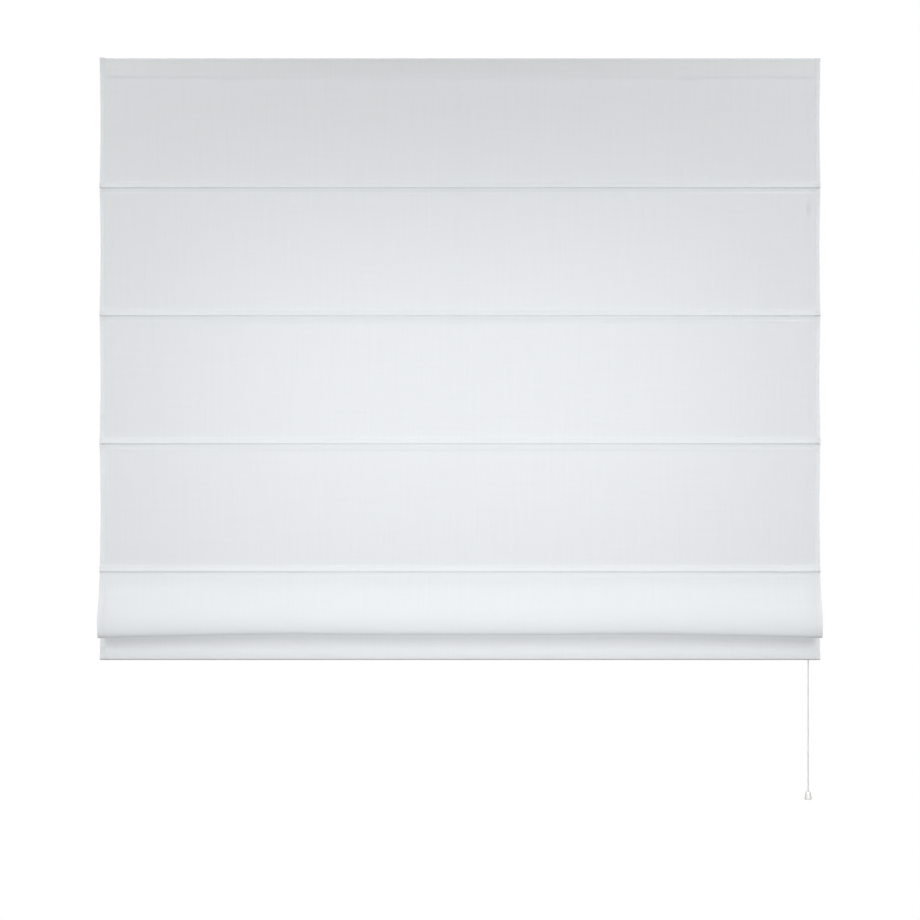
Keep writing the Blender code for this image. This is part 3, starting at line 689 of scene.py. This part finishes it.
FIBREGLASS = rod_material()
for level in range(1, 6):
    rod(f"fibreglass_rod_{level}", f"rod_{level}", FIBREGLASS, f"level_{level}")
rod("steel_hem_rod", "weight_rod", ZINC, "level_5")

# ---- rings ----
# Small clear plastic rings, each bound to the back of its rod pocket with four turns of thread, carry the
# lift cords up the back of the cloth.

RING_WIRE_R = 1 * MM
TIE_R = 1.5 * MM
THREAD_R = 0.2 * MM
for level in range(1, 6):
    for side, x in CORD_XS.items():
        low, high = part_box(f"ring_{level}_{side}")
        ring_r = (high.x - low.x) / 2 - RING_WIRE_R
        angles = [math.tau * step / 12 for step in range(12)]
        section = [
            (ring_r + RING_WIRE_R * math.cos(angle), RING_WIRE_R * math.sin(angle)) for angle in angles
        ]
        piece(
            f"clear_ring_{level}_{side}",
            turned_ring(section, (low + high) / 2),
            CLEAR,
            f"level_{level}",
            [f"ring_{level}_{side}"],
        )
        tie_y = low.y + RING_WIRE_R - 0.5 * MM
        turns = [
            (
                x + (step / 24 - 1) * 0.9 * MM,
                tie_y + TIE_R * math.cos(math.tau * step / 12),
                ROD_ZS[level - 1] + TIE_R * math.sin(math.tau * step / 12),
            )
            for step in range(49)
        ]
        piece(
            f"ring_tie_{level}_{side}",
            tube(turns, THREAD_R, sides=4),
            BRAID,
            f"level_{level}",
        )

# ---- cloth drops ----
# One length of sheer white voile is sewn into five drops. Each drop but the last ends in a lip that laps the
# next, over the rod pocket behind it, and its sides are turned in and stitched.


def voile_material():
    """Loose plain weave with faint slubs both ways. Light comes through the yarns, and between them."""
    made, tree, shader = material("sheer_voile", (0.89, 0.905, 0.92), 0.85, Sheen_Weight=0.15)
    weft = grain(tree, (14, 14, 1300))
    warp = grain(tree, (1300, 14, 10))
    slub = maths(tree, "MULTIPLY", maths(tree, "ADD", weft, warp), 0.5)
    weave = maths(tree, "MULTIPLY", threads(tree, VOILE_PITCH, "X"), threads(tree, VOILE_PITCH, "Z"))
    tint(tree, shader, slub, (0.91, 0.93, 0.945), (0.93, 0.95, 0.965))
    height = maths(tree, "ADD", slub, maths(tree, "MULTIPLY", weave, 0.4))
    normal = relief(tree, shader, height, 0.12 * MM)
    glow = node(tree, "BsdfTranslucent", Color=(0.94, 0.96, 0.98, 1))
    tree.links.new(normal, glow.inputs["Normal"])
    yarn = node(tree, "MixShader", Fac=VOILE_GLOW)
    tree.links.new(shader.outputs[0], yarn.inputs[1])
    tree.links.new(glow.outputs[0], yarn.inputs[2])
    cloth = node(tree, "MixShader")
    cover = between(tree, slub, VOILE_COVER - VOILE_UNEVEN, VOILE_COVER + VOILE_UNEVEN)
    gaps = maths(tree, "MULTIPLY", weave, 0.12)
    tree.links.new(maths(tree, "SUBTRACT", cover, gaps), cloth.inputs[0])
    tree.links.new(node(tree, "BsdfTransparent").outputs[0], cloth.inputs[1])
    tree.links.new(yarn.outputs[0], cloth.inputs[2])
    tree.links.new(cloth.outputs[0], tree.nodes["Material Output"].inputs["Surface"])
    return made


VOILE_PITCH = 0.55 * MM
VOILE_GLOW = 0.35
VOILE_COVER = 0.60  # of each of the two faces
VOILE_UNEVEN = 0.02
CLOTH = 0.25 * MM
SIDE_HEM = 9 * MM
HEM_GAP = 0.2 * MM
STITCH_INSET = 1.5 * MM  # from the edge of a hem
STITCH_Y = SHEET_Y - CLOTH / 2 - THREAD_R / 2
COLUMNS = 160
VOILE = voile_material()
SEAM_ABOVE_ROD = 8 * MM
SEAMS = [z + SEAM_ABOVE_ROD for z in ROD_ZS]
LAP = 10 * MM  # how far a drop starts above the lip that covers it
LIP_BULGE = 2.6 * MM
LIP_TALL = 14 * MM
LIP_CURL_R = 1.2 * MM
BOW = 1.8 * MM  # how far the sides draw in between seams
POKE = 0.8 * MM  # how far the cloth stands past the rods' ends
RETURN_START = 0.3 * MM  # above the seam


def ease(t):
    t = min(max(t, 0.0), 1.0)
    return t * t * (3 - 2 * t)


def straight(start, end, rows):
    """Points from the first (y, z) up to, but not at, the second."""
    return [tuple(a + (b - a) * row / rows for a, b in zip(start, end)) for row in range(rows)]


def arc(centre, radius, start, end, steps):
    """(y, z) points round a centre. 180 degrees is its front, and 270 its underside."""
    angles = [math.radians(start + (end - start) * step / steps) for step in range(steps + 1)]
    return [(centre[0] + radius * math.cos(a), centre[1] + radius * math.sin(a)) for a in angles]


def behind(profile, distance):
    """The profile moved to its own left, which is towards the window where it runs down."""
    moved = []
    for row, (y, z) in enumerate(profile):
        before, after = profile[max(row - 1, 0)], profile[min(row + 1, len(profile) - 1)]
        along = Vector((after[0] - before[0], after[1] - before[1])).normalized()
        moved.append((y - along.y * distance, z + along.x * distance))
    return moved


def add_strip(shape, profile, form, left=-1.0, right=1.0, columns=COLUMNS):
    """A grid that follows the profile from the left to the right share of the half width, placed by form."""
    rows = len(profile) - 1
    grid = bmesh.ops.create_grid(shape, x_segments=columns, y_segments=rows, size=1)["verts"]
    for vert in grid:
        y, z = profile[round((1 - vert.co.y) / 2 * rows)]
        vert.co = form(left + (right - left) * (vert.co.x + 1) / 2, y, z)


def hung_cloth(profile, form, side_hems=True):
    """Voile that follows the profile, with its turned in sides, given its thickness."""
    shape = bmesh.new()
    add_strip(shape, profile, form)
    if side_hems:
        hem = behind(profile, CLOTH + HEM_GAP)
        share = SIDE_HEM / BLIND_HALF
        add_strip(shape, hem, form, -1.0, -1.0 + share, 3)
        add_strip(shape, hem, form, 1.0 - share, 1.0, 3)
    bmesh.ops.recalc_face_normals(shape, faces=shape.faces)
    bmesh.ops.solidify(shape, geom=shape.faces[:], thickness=CLOTH)
    bmesh.ops.recalc_face_normals(shape, faces=shape.faces)
    return shape


def sewn_form(top, bottom, seed, ripple=0.8 * MM):
    """How cloth held along two seams hangs: it draws in at its sides and ripples a little between them."""

    def form(share, y, z):
        held = math.sin(math.pi * min(max((top - z) / (top - bottom), 0.0), 1.0))
        x = share * (BLIND_HALF + POKE - BOW * held)
        wave = noise.noise(Vector((x * 3.1, seed * 7.3, z * 4.0)))
        wave += 0.4 * noise.noise(Vector((x * 11.0, seed * 3.1, z * 6.0)))
        return Vector((x, y + wave * ripple * held, z))

    return form


def add_stitches(shape, places, pitch=3.4 * MM, length=2.4 * MM):
    """A row of short straight stitches along a smooth line of points."""
    spots = [Vector(place) for place in places]
    travelled, due = 0.0, pitch / 2
    for before, after in zip(spots, spots[1:]):
        reach = (after - before).length
        while due <= travelled + reach:
            along = (after - before).normalized()
            centre = before.lerp(after, (due - travelled) / reach)
            turn = Vector((0, 0, 1)).rotation_difference(along).to_matrix().to_4x4()
            bmesh.ops.create_cone(
                shape,
                cap_ends=True,
                segments=5,
                radius1=THREAD_R,
                radius2=THREAD_R,
                depth=length,
                matrix=Matrix.Translation(centre) @ turn,
            )
            due += pitch
        travelled += reach


def side_stitches(profile, form):
    """The rows that hold down the turned in sides."""
    shape = bmesh.new()
    front = behind(profile, -CLOTH / 2 - THREAD_R / 2)
    inset = (SIDE_HEM - STITCH_INSET) / BLIND_HALF
    for share in (-1 + inset, 1 - inset):
        add_stitches(shape, [form(share, y, z) for y, z in front])
    return shape


def drop_profile(top, seam):
    """Down from behind the lip above, out over the rod pocket, and round into a small curl at the seam."""
    lip_y = SHEET_Y - LIP_BULGE
    curl_z = seam + LIP_CURL_R
    profile = straight((SHEET_Y, top), (SHEET_Y, curl_z + LIP_TALL), 52)
    for row in range(10):
        t = row / 10
        profile.append((SHEET_Y - LIP_BULGE * ease(t), curl_z + LIP_TALL * (1 - t)))
    return profile + arc((lip_y + LIP_CURL_R, curl_z), LIP_CURL_R, 180, 300, 8)


THREAD = BRAID
for level in range(1, 5):
    above = "rail" if level == 1 else f"level_{level - 1}"
    top = CLOTH_TOP if level == 1 else SEAMS[level - 2] + LAP
    held_from = CLOTH_TOP if level == 1 else SEAMS[level - 2]
    seam = SEAMS[level - 1]
    form = sewn_form(held_from, seam, level)
    profile = drop_profile(top, seam)
    if level == 1:
        head = arc((SHEET_Y + 0.3 * MM, CLOTH_TOP - 0.4 * MM), 0.3 * MM, 0, 180, 6)
        profile = [(SHEET_Y + 0.6 * MM, CLOTH_TOP - 3.4 * MM), *head, *profile[1:]]
    names = [f"panel_{level}_upper", f"panel_{level}_lower"]
    drop = piece(f"voile_drop_{level}", hung_cloth(profile, form), VOILE, replaces=names, sharp=60)
    sides = piece(f"side_stitches_{level}", side_stitches(profile, form), THREAD)
    for cloth in (drop, sides):
        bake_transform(cloth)
    strip_y = SHEET_Y - LIP_BULGE / 2
    strip_rows = straight((strip_y, seam + LAP), (strip_y, seam + RETURN_START), 24)
    strip = piece(
        f"voile_return_{level}",
        hung_cloth(strip_rows, form, side_hems=False),
        VOILE,
        sharp=60,
    )
    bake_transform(strip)

# ---- gathered fold ----
# The lowest drop is drawn up: it swells forward, turns under and comes back up to the last rod, heavier and
# lower at its two ends.

TURN_FRONT = 8 * MM  # from the front of the roll back to its lowest line
TURN_BACK = 2 * MM
TURN_TALL = 24 * MM
fold_low, front_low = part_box("panel_5_lower")[0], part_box("panel_5_upper")[0]
INSIDE_CAD = 0.3 * MM
FOLD_FRONT_Y = min(fold_low.y, front_low.y) + INSIDE_CAD
TURN_TOP = fold_low.z + INSIDE_CAD + TURN_TALL
FOLD_BACK_TOP = ROD_ZS[4] - 1 * MM
FOLD_BACK_Y = SHEET_Y - 0.9 * MM
END_SAG = 5.4 * MM


def gathered_form(share, y, z):
    """The fold hangs lower and fuller towards its ends, and a little higher between them and the middle."""
    down = ease((SEAMS[3] - z) / (SEAMS[3] - TURN_TOP))
    sag = END_SAG * share**4 - 1.5 * MM * math.exp(-(((abs(share) - 0.5) / 0.2) ** 2))
    x = share * (BLIND_HALF + POKE - 0.6 * MM * math.sin(math.pi * min(down, 1.0)))
    wave = noise.noise(Vector((x * 2.6, 2.7, z * 3.0))) + 0.4 * noise.noise(Vector((x * 8.0, 9.1, z * 9.0)))
    return Vector((x, y + wave * 1.3 * MM * math.sin(math.pi * min(down, 0.97)), z - sag * down))


FRONT_ROWS = 30
TURN_ROWS = 18
fold_profile = straight((SHEET_Y, SEAMS[3] + LAP), (SHEET_Y, SEAMS[3]), 3)
for row in range(FRONT_ROWS):
    z = SEAMS[3] + (TURN_TOP - SEAMS[3]) * row / FRONT_ROWS
    forward = SHEET_Y - FOLD_FRONT_Y
    fold_profile.append((SHEET_Y - forward * ease(row / FRONT_ROWS), z))
for row in range(TURN_ROWS + 1):
    turned = math.pi * (1 + row / TURN_ROWS)
    reach = TURN_FRONT if row <= TURN_ROWS / 2 else TURN_BACK
    y = FOLD_FRONT_Y + TURN_FRONT + reach * math.cos(turned)
    fold_profile.append((y, TURN_TOP + TURN_TALL * math.sin(turned)))
fold = piece(
    "voile_gathered_fold",
    hung_cloth(fold_profile, gathered_form),
    VOILE,
    replaces=["panel_5_upper", "panel_5_lower"],
    sharp=60,
)
fold_sides = piece("side_stitches_5", side_stitches(fold_profile, gathered_form), THREAD)
for cloth in (fold, fold_sides):
    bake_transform(cloth)

BACK_ROWS = 24
turn_back_y = FOLD_FRONT_Y + TURN_FRONT + TURN_BACK
back_profile = []
for row in range(BACK_ROWS + 1):
    t = row / BACK_ROWS
    y = turn_back_y + (FOLD_BACK_Y - turn_back_y) * ease(t)
    back_profile.append((y, TURN_TOP + (FOLD_BACK_TOP - TURN_TOP) * t))
fold_back = piece("voile_gathered_back", hung_cloth(back_profile, gathered_form), VOILE, sharp=60)
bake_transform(fold_back)

# ---- rod pockets ----
# Each is a narrow strip of the same voile stitched across the back just below its seam, with the rod slid in
# from the end.

POCKET_HALF = 5.5 * MM
POCKET_FRONT_Y = SHEET_Y + CLOTH + 0.3 * MM
POCKET_DEEP = 5.15 * MM
for level in range(1, 6):
    rod_z = ROD_ZS[level - 1]
    profile = []
    for row in range(17):
        t = row / 8 - 1
        y = POCKET_FRONT_Y + POCKET_DEEP * math.cos(math.pi / 2 * t) ** 2
        profile.append((y, rod_z - POCKET_HALF * t))
    form = sewn_form(SEAMS[level - 1], SEAMS[level - 1] - RING_SPACING, level, ripple=0.0)
    pocket = piece(
        f"rod_pocket_{level}",
        hung_cloth(profile, form, side_hems=False),
        VOILE,
        f"level_{level}",
        sharp=60,
    )
    rows = bmesh.new()
    row_half = BLIND_HALF - 2 * MM
    for stitch_z in (rod_z + POCKET_HALF - 1 * MM, rod_z - POCKET_HALF + 1 * MM):
        add_stitches(rows, [(-row_half, STITCH_Y, stitch_z), (row_half, STITCH_Y, stitch_z)])
    piece(f"pocket_stitches_{level}", rows, THREAD, f"level_{level}")

# ---- bottom flap and hem ----
# The last length hangs straight below the lowest rod. Its end is turned up behind round the steel rod and
# stitched across.

HEM_TALL = 25 * MM
FLAP_ROWS = 36
weight = centre_of("weight_rod")
flap_low, flap_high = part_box("flap")
hem_r = weight.y - SHEET_Y
hem_top = flap_low.z + HEM_TALL
flap_profile = straight((SHEET_Y, flap_high.z), (SHEET_Y, weight.z), FLAP_ROWS)
flap_profile += arc((weight.y, weight.z), hem_r, 180, 360, 14)
hem_back_y = weight.y + hem_r
hem_end_y = SHEET_Y + 0.7 * MM
for row in range(1, 9):
    t = row / 8
    y = hem_back_y + (hem_end_y - hem_back_y) * ease(t)
    flap_profile.append((y, weight.z + (hem_top - weight.z) * t))
form = sewn_form(SEAMS[4], flap_low.z, 6, ripple=0.5 * MM)
flap = piece(
    "voile_bottom_flap",
    hung_cloth(flap_profile, form),
    VOILE,
    "level_5",
    ["flap"],
    sharp=60,
)
HEM_ROW_HALF = 0.997  # of the half width
hem_row = [
    form(HEM_ROW_HALF * (step / 30 - 1), STITCH_Y, hem_top - STITCH_INSET) for step in range(61)
]
hem_stitches = bmesh.new()
add_stitches(hem_stitches, hem_row)
absorb(hem_stitches, side_stitches(flap_profile[: FLAP_ROWS + 1], form))
stitches = piece("flap_stitches", hem_stitches, THREAD, "level_5")

# ---- light and surroundings ----
# A broad soft key from each side of the camera, a low fill on the gathered fold, and from behind a soft fill
# and the daylight of a window at the middle drops. All round is plain white, with no floor.


def soft_light(name, place, target, width, height, watts):
    """An area light that faces the target."""
    lamp = bpy.data.lights.new(name, "AREA")
    lamp.shape = "RECTANGLE"
    lamp.size, lamp.size_y = width, height
    lamp.energy = watts
    obj = bpy.data.objects.new(name, lamp)
    bpy.context.scene.collection.objects.link(obj)
    obj.location = place
    obj.rotation_euler = (Vector(target) - Vector(place)).to_track_quat("-Z", "Y").to_euler()
    obj.visible_camera = False


for name, side, watts in (("key_left", -1, 35), ("key_right", 1, 37)):
    soft_light(name, (1.9 * side, -1.5, 0.5), (0.6 * side, SHEET_Y, -0.5), 1.0, 1.4, watts)
soft_light("low_fill", (0, -1.3, -1.06), (0, SHEET_Y, -1.03), 1.9, 0.4, 15.8)
window_top, window_bottom = SEAMS[0] - 0.06, SEAMS[2] - 0.1
window_middle = (window_top + window_bottom) / 2
soft_light(
    "window_daylight",
    (0, 0.25, window_middle),
    (0, SHEET_Y, window_middle),
    1.00,
    window_top - window_bottom,
    1.3,
)
soft_light("back_fill", (0, 1.3, -0.9), (0, SHEET_Y, -0.6), 1.8, 1.0, 4)

SKY_LIGHT = 0.06
SEEN_THROUGH_CLOTH = 0.5  # a window's view is darker than the white round the blind
world = bpy.data.worlds.new("studio")
bpy.context.scene.world = world
world.use_nodes = True
sky = world.node_tree
lit = sky.nodes["Background"]
lit.inputs["Color"].default_value = (0.95, 0.97, 1, 1)
lit.inputs["Strength"].default_value = SKY_LIGHT
path = node(sky, "LightPath")
through_cloth = maths(sky, "GREATER_THAN", path.outputs["Transparent Depth"], 0.5)
seen = node(sky, "Background", Color=(1, 1, 1, 1))
sky.links.new(between(sky, through_cloth, 1.0, SEEN_THROUGH_CLOTH), seen.inputs["Strength"])
choose = node(sky, "MixShader")
sky.links.new(path.outputs["Is Camera Ray"], choose.inputs[0])
sky.links.new(lit.outputs[0], choose.inputs[1])
sky.links.new(seen.outputs[0], choose.inputs[2])
sky.links.new(choose.outputs[0], sky.nodes["World Output"].inputs["Surface"])
bpy.context.scene.view_settings.view_transform = "Standard"
